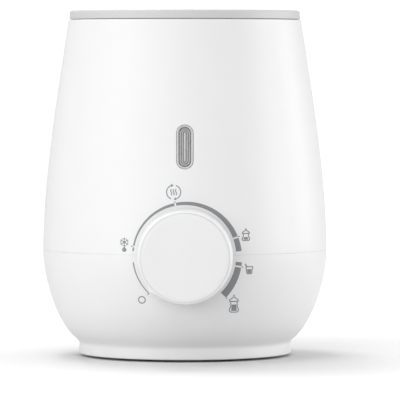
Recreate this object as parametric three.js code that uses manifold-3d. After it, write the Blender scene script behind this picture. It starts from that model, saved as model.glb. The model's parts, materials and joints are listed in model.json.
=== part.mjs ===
// A tabletop baby bottle warmer: a white two-part barrel housing around a water bowl with a heating plate,
// a grey rim ring, a rotary dial on the front, a ribbed light above it and the electronics below the bowl.
// Millimetres, +Z up, front towards -Y. The origin is on the table, below the centre of the whole object's
// bounding box, so the barrel's own axis stands a little behind it.

import * as THREE from "three";
import { mergeVertices } from "three/addons/utils/BufferGeometryUtils.js";
import Module from "manifold-3d";

const wasm = await Module();
wasm.setup();

// ---------------------------------------------------------------- driving dimensions

const BODY_RADIUS = 64; // the barrel at its widest, which is the seam between the two housings
const SEAM_Z = 48;
const UPPER_TOP = { r: 52.5, z: 151.3 }; // top edge of the upper housing
const HEIGHT = 155.5; // top of the rim ring
const FOOT = { r: 47.9, waist: 47.6, top: 6.4, bottom: 1 }; // the band that the barrel stands on
const WALL = 2.2;
const GAP = 0.3; // clearance between pieces that touch on the real object
const ROUND = 32; // segments of the large revolved pieces

const BOWL_RADIUS = 42; // inside
const BOWL_FLOOR = 61; // top of the heating plate
const POST_RADIUS = 43; // circle of the pillars and of the clamp ring's screws

const KNOB_Z = SEAM_Z - 0.4;
const KNOB = { back: 65, front: 77.5, baseRadius: 21, frontRadius: 20.1, pointer: 22 };
const POINTER_ANGLE = 225; // degrees, anticlockwise from +X as seen from the front: the off position
const BOARD = { back: 47, front: 48.6, halfWidth: 17, bottom: 30, top: 108 }; // control board

const LENS_Z = 95.5;
const OUTLET_Z = 20; // height of the cord outlet
const OUTLET_FACE = 58; // distance of its flat face from the axis

const AXIS_Y = (KNOB.front - BODY_RADIUS) / 2; // centres the bounding box on the origin

// ---------------------------------------------------------------- finishes

const FINISHES = {
  shell: { color: 0xf4f4f3, roughness: 0.32, metalness: 0 },
  rim: { color: 0xc9cac9, roughness: 0.45, metalness: 0 },
  bowl: { color: 0xeeeeec, roughness: 0.38, metalness: 0 },
  lens: { color: 0xb4b5b6, roughness: 0.25, metalness: 0 },
  bezel: { color: 0xdcdddd, roughness: 0.3, metalness: 0 },
  aluminium: { color: 0xc4c6c8, roughness: 0.35, metalness: 1 },
  steel: { color: 0xa9abad, roughness: 0.3, metalness: 1 },
  rubber: { color: 0x8d8f90, roughness: 0.8, metalness: 0 },
  silicone: { color: 0xd9d9d6, roughness: 0.6, metalness: 0 },
  board: { color: 0x2f6b45, roughness: 0.5, metalness: 0 },
  blackPlastic: { color: 0x26272a, roughness: 0.5, metalness: 0 },
  bluePlastic: { color: 0x2c5f9e, roughness: 0.45, metalness: 0 },
  nylon: { color: 0xe4e1d6, roughness: 0.5, metalness: 0 },
  whiteLead: { color: 0xe9e7e0, roughness: 0.55, metalness: 0 },
  redLead: { color: 0xb8423a, roughness: 0.55, metalness: 0 },
};

// ---------------------------------------------------------------- small tools

const radians = THREE.MathUtils.degToRad;

// A point at a distance from the barrel's axis, at an angle anticlockwise from +X as seen from above.
const polar = (r, degrees) => [r * Math.cos(radians(degrees)), r * Math.sin(radians(degrees))];

// Outline [[r, z], ...] turned about Z. It starts and ends on the axis, or is closed here.
function revolve(outline, segments = ROUND) {
  const points = outline.map(([r, z]) => new THREE.Vector2(r, z));
  if (points[0].x > 0) points.push(points[0].clone());
  if (THREE.ShapeUtils.area(points) < 0) points.reverse();
  return new THREE.LatheGeometry(points, segments).rotateX(Math.PI / 2);
}

const box = (x0, x1, y0, y1, z0, z1) =>
  new THREE.BoxGeometry(x1 - x0, y1 - y0, z1 - z0).translate((x0 + x1) / 2, (y0 + y1) / 2, (z0 + z1) / 2);

// Upright cylinder from z0 to z1 at (x, y).
const post = (r, z0, z1, [x, y] = [0, 0], segments = 12) =>
  new THREE.CylinderGeometry(r, r, z1 - z0, segments).rotateX(Math.PI / 2).translate(x, y, (z0 + z1) / 2);

// Places on a circle about the barrel's axis, and the same cylinder at each place.
const ringOf = (r, angles) => angles.map((a) => polar(r, a));
const posts = (r, z0, z1, places, segments) => places.map((place) => post(r, z0, z1, place, segments));

// Cylinder along Y from y0 to y1, at height z in the middle of the barrel.
const barrelHole = (r, y0, y1, z) =>
  new THREE.CylinderGeometry(r, r, y1 - y0, 20).translate(0, (y0 + y1) / 2, z);

// Prism of a shape drawn in XY, from z0 to z1.
function prism(shape, z0, z1, curveSegments = 5) {
  const options = { depth: z1 - z0, bevelEnabled: false, curveSegments };
  return new THREE.ExtrudeGeometry(shape, options).translate(0, 0, z0);
}

// Slot outline with round ends, upright in Y.
function stadium(width, height) {
  const r = width / 2;
  const straight = height / 2 - r;
  return new THREE.Shape()
    .moveTo(r, -straight)
    .lineTo(r, straight)
    .absarc(0, straight, r, 0, Math.PI, false)
    .lineTo(-r, -straight)
    .absarc(0, -straight, r, Math.PI, 2 * Math.PI, false);
}

// Section swept along a smooth line through the points.
function sweep(section, points, steps, curveSegments = 3) {
  const extrudePath = new THREE.CatmullRomCurve3(points.map((p) => new THREE.Vector3(...p)));
  return new THREE.ExtrudeGeometry(section, { steps, curveSegments, extrudePath });
}

const disc = (r) => new THREE.Shape().absarc(0, 0, r, 0, 2 * Math.PI, false);

// ---------------------------------------------------------------- joins and cuts

function solidOf(geometry) {
  const bare = geometry.clone();
  bare.deleteAttribute("normal");
  bare.deleteAttribute("uv");
  const merged = mergeVertices(bare, 1e-4);
  const corners = [];
  for (let i = 0; i < merged.index.count; i += 3) {
    const [a, b, c] = merged.index.array.slice(i, i + 3);
    if (a !== b && b !== c && c !== a) corners.push(a, b, c); // the poles of a revolved piece have slivers
  }
  const vertProperties = merged.attributes.position.array;
  const triVerts = new Uint32Array(corners);
  return new wasm.Manifold(new wasm.Mesh({ numProp: 3, vertProperties, triVerts }));
}

function geometryOf(solid) {
  const mesh = solid.getMesh();
  return new THREE.BufferGeometry()
    .setAttribute("position", new THREE.BufferAttribute(mesh.vertProperties, 3))
    .setIndex(new THREE.BufferAttribute(mesh.triVerts, 1));
}

const join = (base, others) => geometryOf(others.reduce((sum, g) => sum.add(solidOf(g)), solidOf(base)));
const cut = (base, others) =>
  geometryOf(others.reduce((rest, g) => rest.subtract(solidOf(g)), solidOf(base)));
const within = (base, limit) => geometryOf(solidOf(base).intersect(solidOf(limit)));

// ---------------------------------------------------------------- the scene graph

const warmer = new THREE.Group();
warmer.position.y = AXIS_Y;

// Everything that turns about the dial's axis: +Z runs out of the front, measured from the barrel's axis.
const dial = new THREE.Group();
dial.position.z = KNOB_Z;
dial.rotation.x = Math.PI / 2;
warmer.add(dial);

function part(name, geometry, finish, group = warmer) {
  const mesh = new THREE.Mesh(geometry, new THREE.MeshStandardMaterial(FINISHES[finish]));
  mesh.name = name;
  group.add(mesh);
  return mesh;
}

// ---------------------------------------------------------------- barrel outline

const upperCurve = new THREE.CubicBezierCurve(
  new THREE.Vector2(BODY_RADIUS, SEAM_Z),
  new THREE.Vector2(BODY_RADIUS, SEAM_Z + 37.4),
  new THREE.Vector2(UPPER_TOP.r + 1.4, UPPER_TOP.z - 12.2),
  new THREE.Vector2(UPPER_TOP.r, UPPER_TOP.z),
);
const lowerCurve = new THREE.CubicBezierCurve(
  new THREE.Vector2(FOOT.waist + 0.9, FOOT.top + 0.9),
  new THREE.Vector2(FOOT.waist + 10.9, FOOT.top + 8.2),
  new THREE.Vector2(BODY_RADIUS, SEAM_Z - 12.2),
  new THREE.Vector2(BODY_RADIUS, SEAM_Z),
);

// Points [r, z] along a curve, moved inwards by a distance square to it.
function outlineOf(curve, inset, steps, from = 0, to = 1) {
  const points = [];
  for (let i = 0; i <= steps; i++) {
    const t = from + ((to - from) * i) / steps;
    const at = curve.getPoint(t);
    const along = curve.getTangent(t);
    points.push([at.x - along.y * inset, at.y + along.x * inset]);
  }
  return points;
}

// The barrel's radius and slope (radians from upright) at a height on the upper housing.
function upperSurface(z) {
  let [low, high] = [0, 1];
  while (high - low > 1e-6) {
    const middle = (low + high) / 2;
    if (upperCurve.getPoint(middle).y < z) low = middle;
    else high = middle;
  }
  const along = upperCurve.getTangent(low);
  return { radius: upperCurve.getPoint(low).x, slope: Math.atan2(-along.x, along.y) };
}

// ---------------------------------------------------------------- housings

const SEAM_HALF = GAP / 2;
const TONGUE = { inner: BODY_RADIUS - WALL, outer: BODY_RADIUS - 1.4, top: SEAM_Z + 2.4 };
const SHAFT_HOLE_RADIUS = 4.6;
const BEZEL = { width: 7.6, height: 19.8, lip: 0.85 };
const RIM_FLANGE = { inner: 45, thickness: WALL }; // ledge at the top, which the bowl hangs on
const CLIP = { inner: 47, outer: 48.4, halfWidth: 4, angles: [60, 180, 300] }; // the rim ring's snap legs

const shaftHole = barrelHole(SHAFT_HOLE_RADIUS, -67, -53, KNOB_Z);

// Blocks that stand for the snap legs, widened by a clearance, from z0 to z1.
function clipBlocks(clearance, z0, z1) {
  const [inner, outer] = [CLIP.inner - clearance, CLIP.outer + clearance];
  const half = CLIP.halfWidth + clearance;
  return CLIP.angles.map((angle) => box(inner, outer, -half, half, z0, z1).rotateZ(radians(angle)));
}

const lensSurface = upperSurface(LENS_Z);

// Moves a shape drawn with +Z out of the front onto the sloping wall, with its origin on the surface.
const ontoLensPlace = (geometry) =>
  geometry.rotateX(Math.PI / 2 - lensSurface.slope).translate(0, -lensSurface.radius, LENS_Z);

function makeUpperHousing() {
  const ledge = UPPER_TOP.z - RIM_FLANGE.thickness;
  const shell = revolve([
    [BODY_RADIUS, SEAM_Z + SEAM_HALF],
    ...outlineOf(upperCurve, 0, 6, 0.04),
    [RIM_FLANGE.inner, UPPER_TOP.z],
    [RIM_FLANGE.inner, ledge],
    ...outlineOf(upperCurve, WALL, 4, 0.975, 0.08),
    [TONGUE.inner, TONGUE.top + 0.5],
    [TONGUE.outer + GAP, TONGUE.top + 0.5],
    [TONGUE.outer + GAP, SEAM_Z + SEAM_HALF],
  ]);
  // Two upright rails inside the front wall hold the control board by its edges.
  const inside = revolve([
    [0, SEAM_Z + 12],
    [upperSurface(SEAM_Z + 12).radius - 1, SEAM_Z + 12],
    [upperSurface(112).radius - 1, 112],
    [0, 112],
  ]);
  const rails = [-1, 1].flatMap((side) => {
    const xs = [side * (BOARD.halfWidth - 1.5), side * (BOARD.halfWidth + 3)].sort((a, b) => a - b);
    const rail = box(...xs, -60.5, -BOARD.back + 1.4, SEAM_Z + 12, 112);
    const slot = [side * (BOARD.halfWidth - 3), side * (BOARD.halfWidth + GAP)].sort((a, b) => a - b);
    return [within(cut(rail, [box(...slot, -BOARD.front - GAP, -BOARD.back + GAP, 0, 200)]), inside)];
  });
  const lensHole = ontoLensPlace(prism(stadium(BEZEL.width + 2 * GAP, BEZEL.height + 2 * GAP), -6, 4));
  return cut(join(shell, rails), [shaftHole, lensHole, ...clipBlocks(0.4, ledge - 1, UPPER_TOP.z + 1)]);
}

const LEDGE = { inner: 38, bottom: 4.5, top: 6.6 }; // inside the lower housing, above the base plate
const PILLAR_PLACES = ringOf(POST_RADIUS, [30, 150, 270]);
const CLAMP_ANGLES = [90, 210, 330];
const CLAMP_PLACES = ringOf(POST_RADIUS, CLAMP_ANGLES);
const BASE_SCREW_PLACES = ringOf(41.5, CLAMP_ANGLES);

function makeLowerHousing() {
  const footInside = FOOT.r - 2.4;
  const shell = revolve([
    [FOOT.r - 0.6, FOOT.bottom],
    [FOOT.r, FOOT.bottom + 0.6],
    [FOOT.waist, FOOT.top - 1],
    [FOOT.waist + 0.2, FOOT.top + 0.1],
    ...outlineOf(lowerCurve, 0, 7, 0, 0.97),
    [BODY_RADIUS, SEAM_Z - SEAM_HALF],
    [TONGUE.outer, SEAM_Z - SEAM_HALF],
    [TONGUE.outer, TONGUE.top],
    [TONGUE.inner, TONGUE.top],
    ...outlineOf(lowerCurve, WALL, 5, 0.97, 0.06),
    [footInside, LEDGE.top],
    [LEDGE.inner, LEDGE.top],
    [LEDGE.inner, LEDGE.bottom],
    [footInside, LEDGE.bottom],
    [footInside, FOOT.bottom],
  ]);
  const pillarSeats = posts(3.6, LEDGE.bottom + 1, LEDGE.top + 2.4, PILLAR_PLACES);
  const screwBosses = posts(3.4, LEDGE.bottom + 1, LEDGE.top + 7.4, BASE_SCREW_PLACES);
  const snout = barrelHole(8.6, OUTLET_FACE - 8.6, OUTLET_FACE, OUTLET_Z);
  // Two ribs at the front carry the control board's lower edge.
  const ribTop = BOARD.bottom - GAP;
  const inside = revolve([[0, LEDGE.bottom], ...outlineOf(lowerCurve, 1, 8, 0.02, 0.62), [0, ribTop]]);
  const boardRibs = [-12, 12].map((x) => within(box(x - 2, x + 2, -56, -45.6, 6, ribTop), inside));
  const solid = join(shell, [...pillarSeats, ...screwBosses, snout, ...boardRibs]);
  return cut(solid, [
    shaftHole,
    ...posts(1.7, 4, 10, PILLAR_PLACES, 8),
    ...posts(3.1, 4, LEDGE.top, PILLAR_PLACES),
    ...posts(1.6, 4, 12.5, BASE_SCREW_PLACES, 8),
    barrelHole(7.2, OUTLET_FACE, OUTLET_FACE + 10, OUTLET_Z), // pocket down to the face
    barrelHole(6.6, OUTLET_FACE - 15, OUTLET_FACE - 3, OUTLET_Z), // hollow behind the face
    barrelHole(5, OUTLET_FACE - 9, OUTLET_FACE + 3, OUTLET_Z), // hole for the grommet
  ]);
}

function makeRimRing() {
  const under = UPPER_TOP.z + 0.6;
  const plateBottom = UPPER_TOP.z + 2.4;
  const ring = revolve([
    [52, under],
    [51.8, HEIGHT - 0.9],
    [51.5, HEIGHT - 0.25],
    [50.9, HEIGHT],
    [43.2, HEIGHT],
    [BOWL_RADIUS + 0.3, HEIGHT - 0.4],
    [BOWL_RADIUS, HEIGHT - 1.1],
    [BOWL_RADIUS, plateBottom],
    [50.3, plateBottom],
    [50.3, under],
  ]);
  const bottom = UPPER_TOP.z - 4.3;
  const legs = clipBlocks(0, bottom, plateBottom + 0.5);
  const barbs = CLIP.angles.map((angle) =>
    box(CLIP.outer - 0.5, CLIP.outer + 1, -CLIP.halfWidth, CLIP.halfWidth, bottom, UPPER_TOP.z - WALL - GAP)
      .rotateZ(radians(angle)),
  );
  return join(ring, [...legs, ...barbs]);
}

part("upper_housing", makeUpperHousing(), "shell");
part("lower_housing", makeLowerHousing(), "shell");
part("rim_ring", makeRimRing(), "rim");

// ---------------------------------------------------------------- bowl and heating plate

const LIP = { inner: 36, bottom: BOWL_FLOOR - 1.6, top: BOWL_FLOOR + 0.2 }; // floor around the plate
const BOSS_BOTTOM = BOWL_FLOOR - 5;

function makeBowl() {
  const outer = BOWL_RADIUS + WALL;
  const flangeBottom = UPPER_TOP.z + GAP;
  const shell = revolve([
    [LIP.inner, LIP.bottom],
    [outer, LIP.bottom],
    [outer, flangeBottom],
    [50, flangeBottom],
    [50, flangeBottom + 1.8],
    [BOWL_RADIUS, flangeBottom + 1.8],
    [BOWL_RADIUS, LIP.top + 2],
    [BOWL_RADIUS - 2, LIP.top],
    [LIP.inner, LIP.top],
  ]);
  const clampBosses = posts(3, BOSS_BOTTOM, LIP.bottom + 1, CLAMP_PLACES);
  const pillarBosses = posts(4, BOSS_BOTTOM, LIP.bottom + 1, PILLAR_PLACES);
  const screwHoles = posts(1.6, BOSS_BOTTOM - 1, LIP.bottom, [...CLAMP_PLACES, ...PILLAR_PLACES], 8);
  const clipSlots = clipBlocks(0.4, UPPER_TOP.z, flangeBottom + 3);
  return cut(join(shell, [...clampBosses, ...pillarBosses]), [...screwHoles, ...clipSlots]);
}

const PLATE = { radius: 35.7, flange: 38.7, flangeBottom: BOWL_FLOOR - 5, thickness: 1.5 };

// Pressed plate: a raised disc that fills the hole in the bowl's floor, and a flange below it.
const heatingPlate = revolve([
  [0, BOWL_FLOOR],
  [PLATE.radius - 0.7, BOWL_FLOOR],
  [PLATE.radius, BOWL_FLOOR - 0.7],
  [PLATE.radius, PLATE.flangeBottom + PLATE.thickness - 0.1],
  [PLATE.flange, PLATE.flangeBottom + PLATE.thickness - 0.1],
  [PLATE.flange, PLATE.flangeBottom],
  [PLATE.radius - 1.4, PLATE.flangeBottom],
  [PLATE.radius - 1.4, BOWL_FLOOR - PLATE.thickness],
  [0, BOWL_FLOOR - PLATE.thickness],
]);

const gasket = revolve([
  [PLATE.radius + GAP, BOWL_FLOOR - 3.3],
  [PLATE.flange, BOWL_FLOOR - 3.3],
  [PLATE.flange, LIP.bottom - GAP],
  [PLATE.radius + GAP, LIP.bottom - GAP],
]);

function makeClampRing() {
  const [bottom, top] = [PLATE.flangeBottom - 1.8, PLATE.flangeBottom - GAP];
  const ring = revolve([[33, bottom], [39, bottom], [39, top], [33, top]]);
  const ears = posts(3.2, bottom, top, CLAMP_PLACES);
  const webs = CLAMP_ANGLES.map((a) => box(37, POST_RADIUS, -3.2, 3.2, bottom, top).rotateZ(radians(a)));
  return cut(join(ring, [...ears, ...webs]), posts(1.7, bottom - 1, top + 1, CLAMP_PLACES, 8));
}

part("bowl", makeBowl(), "bowl");
part("heating_plate", heatingPlate, "aluminium");
part("plate_gasket", gasket, "silicone");
part("clamp_ring", makeClampRing(), "steel");

// ---------------------------------------------------------------- screws

// Pan-head screw that points up, with the underside of its head at z = 0.
function screw(shankRadius, length, headRadius, headHeight) {
  return revolve([
    [0, -headHeight],
    [headRadius * 0.75, -headHeight],
    [headRadius, -headHeight * 0.6],
    [headRadius, 0],
    [shankRadius, 0],
    [shankRadius, length],
    [0, length],
  ], 8);
}

function screws(name, geometry, places, z, turned = false) {
  places.forEach(([x, y], i) => {
    const mesh = part(`${name}_${i + 1}`, geometry.clone(), "steel");
    mesh.position.set(x, y, z);
    if (turned) mesh.rotation.x = Math.PI; // head up
  });
}

screws("clamp_screw", screw(1.3, 5, 2.6, 1.8), CLAMP_PLACES, PLATE.flangeBottom - 2.1);
screws("tie_screw", screw(1.3, 52, 2.7, 1.6), PILLAR_PLACES, LEDGE.top - GAP);
screws("base_screw", screw(1.3, 8.6, 2.7, 1.3), BASE_SCREW_PLACES, 3);

// ---------------------------------------------------------------- pillars below the bowl

const pillarOutline = [
  [1.7, LEDGE.top + 2.7],
  [3.5, LEDGE.top + 2.7],
  [3.5, BOSS_BOTTOM - GAP],
  [1.7, BOSS_BOTTOM - GAP],
];
PILLAR_PLACES.forEach(([x, y], i) => {
  part(`support_pillar_${i + 1}`, revolve(pillarOutline, 12), "nylon").position.set(x, y, 0);
});

// ---------------------------------------------------------------- heater

const SPREADER = { radius: 31, bottom: BOWL_FLOOR - 3.8, top: BOWL_FLOOR - 1.8 };
// Ring open at the rear, its ends given in degrees.
const COIL = { radius: 22, section: 2.7, z: SPREADER.bottom - 3.1, start: 118, end: 422 };
const THERMOSTAT_SCREWS = [[-13, 0], [13, 0]];

const spreader = cut(
  post(SPREADER.radius, SPREADER.bottom, SPREADER.top, [0, 0], ROUND),
  posts(1.6, SPREADER.bottom - 1, SPREADER.bottom + 1.4, THERMOSTAT_SCREWS, 8),
);
part("heat_spreader", spreader, "aluminium");

// Rod bent round in a ring, with both ends turned down beside each other at the rear.
const COIL_END_Z = COIL.z - 10;
const BEND = [[6, 0.9], [11, 3.3], [14, 6.6], [14.5, 10]]; // degrees past the ring's end, drop
const coilPoint = (angle, drop) => [...polar(COIL.radius, angle), COIL.z - drop];
const coilPoints = BEND.map(([turn, drop]) => coilPoint(COIL.start - turn, drop)).reverse();
for (let i = 0; i <= 16; i++) {
  coilPoints.push(coilPoint(COIL.start + ((COIL.end - COIL.start) * i) / 16, 0));
}
coilPoints.push(...BEND.map(([turn, drop]) => coilPoint(COIL.end + turn, drop)));
part("heating_ring", sweep(disc(COIL.section), coilPoints, 44, 4), "steel");

// Ceramic bead with a pin, below each end of the ring.
const terminalOutline = [[0, -8], [1, -8], [1, -3], [2.4, -3], [2.4, 0], [0, 0]];
const leftPin = coilPoints.at(0).slice(0, 2);
const rightPin = coilPoints.at(-1).slice(0, 2);
const beadZ = COIL_END_Z - GAP;
part("heater_terminal_left", revolve(terminalOutline, 12), "nylon").position.set(...leftPin, beadZ);
part("heater_terminal_right", revolve(terminalOutline, 12), "nylon").position.set(...rightPin, beadZ);

// Disc thermostat with two blade terminals, pressed against the spreader by a strip.
const BLADE = { x: 4, bottom: SPREADER.bottom - 18 };
const thermostat = join(
  revolve([
    [0, SPREADER.bottom - 11],
    [7.4, SPREADER.bottom - 11],
    [7.4, SPREADER.bottom - 2.3],
    [8.6, SPREADER.bottom - 2.3],
    [8.6, SPREADER.bottom - GAP],
    [0, SPREADER.bottom - GAP],
  ], 20),
  [-BLADE.x, BLADE.x].map((x) => box(x - 0.4, x + 0.4, -2.4, 2.4, BLADE.bottom, BLADE.bottom + 8)),
);
part("thermostat", thermostat, "blackPlastic");

const stripZ = SPREADER.bottom - 2.6;
const strip = cut(
  join(box(-16, 16, -4.5, 4.5, stripZ - 1, stripZ), [
    box(-16, -10.5, -4.5, 4.5, stripZ - 0.5, SPREADER.bottom - GAP),
    box(10.5, 16, -4.5, 4.5, stripZ - 0.5, SPREADER.bottom - GAP),
    post(9.4, stripZ - 1, stripZ, [0, 0], 20),
  ]),
  [
    post(7.8, stripZ - 2, stripZ + 1, [0, 0], 20),
    ...posts(1.6, stripZ - 2, SPREADER.bottom + 1, THERMOSTAT_SCREWS, 8),
  ],
);
part("thermostat_strip", strip, "steel");
screws("thermostat_screw", screw(1.2, 4.2, 2.3, 1.3), THERMOSTAT_SCREWS, stripZ - 1.3);

// Temperature probe lying under the spreader, outside the ring.
const probe = revolve([[0, -6], [1.4, -6], [1.9, -5], [1.9, 5], [1.4, 6], [0, 6]], 12).rotateX(Math.PI / 2);
part("temperature_sensor", probe, "steel").position.set(28, 0, SPREADER.bottom - 2.3);

// ---------------------------------------------------------------- base plate, feet and power board

const BASE_PLATE = { radius: 45.1, bottom: 1.6, top: 4.2 };
const PAD = { r: 6, height: 2.7, places: ringOf(35, [45, 135, 225, 315]) };
const POWER_BOARD = { x: 30, y0: -16, y1: 28, bottom: 13, top: 14.6 };
const POWER_SCREWS = [[-24, -10], [24, -10], [24, 22], [-24, 22]];

function makeBasePlate() {
  const plate = post(BASE_PLATE.radius, BASE_PLATE.bottom, BASE_PLATE.top, [0, 0], ROUND);
  const bosses = posts(3, BASE_PLATE.top - 1, POWER_BOARD.bottom - GAP, POWER_SCREWS);
  const vents = [-10, -5, 0, 5, 10].map((x) => box(x - 1, x + 1, -30, -14, 0, 6));
  return cut(join(plate, bosses), [
    ...posts(1.4, 5.5, 14, POWER_SCREWS, 8),
    ...posts(PAD.r + GAP, 1, PAD.height + GAP, PAD.places, 16),
    ...posts(1.7, 1, 5, BASE_SCREW_PLACES, 8),
    ...posts(3.1, 1, 3.3, BASE_SCREW_PLACES),
    ...vents,
    box(-16, 16, 4, 24, 1, BASE_PLATE.bottom + 0.4), // shallow recess for a rating label
  ]);
}
part("base_plate", makeBasePlate(), "shell");

const padOutline = [[0, 0], [PAD.r - 0.4, 0], [PAD.r, 0.5], [PAD.r, PAD.height], [0, PAD.height]];
PAD.places.forEach(([x, y], i) => {
  part(`rubber_foot_${i + 1}`, revolve(padOutline, 16), "rubber").position.set(x, y, 0);
});

const powerBoard = cut(
  box(-POWER_BOARD.x, POWER_BOARD.x, POWER_BOARD.y0, POWER_BOARD.y1, POWER_BOARD.bottom, POWER_BOARD.top),
  posts(1.5, 12, 16, POWER_SCREWS, 8),
);
part("power_board", powerBoard, "board");
screws("board_screw", screw(1.1, 8, 2.3, 1.5), POWER_SCREWS, POWER_BOARD.top + GAP, true);

const onBoard = POWER_BOARD.top + GAP;
part("relay", box(-18, -3, -12, 7, onBoard, onBoard + 15), "bluePlastic");
part("film_capacitor", box(3, 21, -4, 4, onBoard, onBoard + 13), "nylon");
part("smoothing_capacitor", post(5, onBoard, onBoard + 12, [8, 13], 18), "blackPlastic");
part("terminal_block", box(-15, 0, 15, 24, onBoard, onBoard + 10), "bluePlastic");

// ---------------------------------------------------------------- control board, light and potentiometer

const controlBoard = join(
  box(-BOARD.halfWidth, BOARD.halfWidth, -BOARD.front, -BOARD.back, BOARD.bottom, BOARD.top),
  [
    box(-5, 5, -BOARD.front - 1.2, -BOARD.front + 0.4, 64, 74), // controller chip
    box(8, 12, -BOARD.front - 0.9, -BOARD.front + 0.4, 62, 70),
    box(-14, -8, -BOARD.front - 5, -BOARD.front + 0.4, 60, 76), // plug for the ribbon
  ],
);
part("control_board", controlBoard, "board");

const led = new THREE.Group();
led.position.z = LENS_Z;
led.rotation.x = Math.PI / 2;
warmer.add(led);
const ledOutline = [[0, 0], [2.9, 0], [2.9, 1], [2.5, 1], [2.5, 3.4], [1.6, 4.8], [0, 5.2]];
part("indicator_led", revolve(ledOutline, 14), "lens", led).position.z = BOARD.front + GAP;

const reflector = cut(prism(stadium(12, 24), 0, 5.4), [prism(stadium(9.6, 21.6), -1, 7)]);
part("light_reflector", reflector, "shell", led).position.z = BOARD.front + GAP;

// The lens and its bezel sit square to the sloping wall.
const lensPlace = new THREE.Group();
lensPlace.position.set(0, -lensSurface.radius, LENS_Z);
lensPlace.rotation.x = Math.PI / 2 - lensSurface.slope;
warmer.add(lensPlace);

const lens = join(prism(stadium(5.6, 17.8), -3.4, -0.5), [
  prism(stadium(11, 23), -4.4, -3.1),
  prism(stadium(4.1, 16.3), -0.9, -0.3),
  prism(stadium(1.9, 14.1), -0.6, -0.1),
]);
part("indicator_lens", lens, "lens", lensPlace);
const bezelOpening = stadium(BEZEL.width - 2 * BEZEL.lip, BEZEL.height - 2 * BEZEL.lip);
const bezel = cut(prism(stadium(BEZEL.width, BEZEL.height), -2.8, -0.05), [prism(bezelOpening, -4, 2)]);
part("lens_bezel", bezel, "bezel", lensPlace);

// Potentiometer soldered to the control board, with its bushing through the seam of the housings.
const potBody = revolve([
  [0, BOARD.front + GAP],
  [8, BOARD.front + GAP],
  [8, 55.5],
  [4, 55.5],
  [4, 62.5],
  [3.3, 62.5],
  [3.3, 50.6],
  [0, 50.6],
], 20);
part("potentiometer_body", potBody, "blackPlastic", dial);

// ---------------------------------------------------------------- dial knob

const shaft = cut(post(3, 50.9, 74, [0, 0], 20), [box(1.5, 4, -4, 4, 66, 75)]); // flat on the outer end
part("potentiometer_shaft", shaft, "aluminium", dial);

function makeKnobShell() {
  const web = KNOB.front - 1.5;
  const drum = revolve([
    [0, web],
    [19.35, web],
    [19.35, KNOB.front],
    [KNOB.frontRadius - 0.35, KNOB.front - 0.25],
    [KNOB.frontRadius, KNOB.front - 0.9],
    [KNOB.baseRadius, KNOB.back],
    [KNOB.baseRadius - 1.8, KNOB.back],
    [KNOB.frontRadius - 1.9, web - 1.6],
    [5.4, web - 1.6],
    [5.4, KNOB.back + 1.5],
    [3.4, KNOB.back + 1.5],
    [3.4, web - 1.6],
    [0, web - 1.6],
  ], ROUND);
  // A small nose on the drum's side points at the setting.
  const nose = new THREE.Shape()
    .moveTo(19.6, -2.8)
    .lineTo(KNOB.baseRadius - 0.3, -1.9)
    .lineTo(KNOB.pointer, 0)
    .lineTo(KNOB.baseRadius - 0.3, 1.9)
    .lineTo(19.6, 2.8);
  return join(drum, [
    prism(nose, KNOB.back, KNOB.front - 0.5).rotateZ(radians(POINTER_ANGLE)),
    box(1.8, 3.6, -2.9, 2.9, KNOB.back + 1.5, web - 1), // flat in the bore, against the shaft's flat
  ]);
}
part("knob_shell", makeKnobShell(), "shell", dial);
part("knob_face", post(19.05, KNOB.front - 1.2, KNOB.front - 0.1, [0, 0], ROUND), "shell", dial);

// Split spring ring that squeezes the knob's hub onto the shaft.
const clip = cut(
  revolve([[5.7, 68], [6.4, 68], [6.4, 71], [5.7, 71]], 16),
  [box(3, 8, -1, 1, 60, 75).rotateZ(radians(20))],
);
part("knob_clip", clip, "steel", dial);

// ---------------------------------------------------------------- cord outlet

// Rubber grommet in the outlet's face, with an open hole for the cord.
const GROMMET = { hole: 3.6, neck: 4.7, flange: 6.2 };
const grommet = revolve([
  [GROMMET.hole, -4.8],
  [GROMMET.flange - 0.6, -4.8],
  [GROMMET.flange - 0.2, -3.3],
  [GROMMET.neck, -3.3],
  [GROMMET.neck, GAP],
  [GROMMET.flange, GAP],
  [GROMMET.flange - 0.5, 1.8],
  [GROMMET.hole, 2.2],
], 20);
const outlet = part("cord_grommet", grommet, "rubber");
outlet.position.set(0, OUTLET_FACE, OUTLET_Z);
outlet.rotation.x = -Math.PI / 2; // its +Z points out of the rear

// ---------------------------------------------------------------- wiring inside

const LEAD_RADIUS = 1;
const pinZ = beadZ - 8 - GAP; // just below the pins of the heating ring
const bladeZ = BLADE.bottom - GAP; // just below the thermostat's blades
const blockZ = onBoard + 10 + GAP; // just above the terminal block

// Thermal cut-out in its sleeve, in the lead between the terminal block and the thermostat.
const fuse = revolve([[0, -7], [1.2, -7], [2.1, -6], [2.1, 6], [1.2, 7], [0, 7]], 12).rotateX(Math.PI / 2);
part("thermal_fuse", fuse, "whiteLead").position.set(-14, 5, 34);

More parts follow.
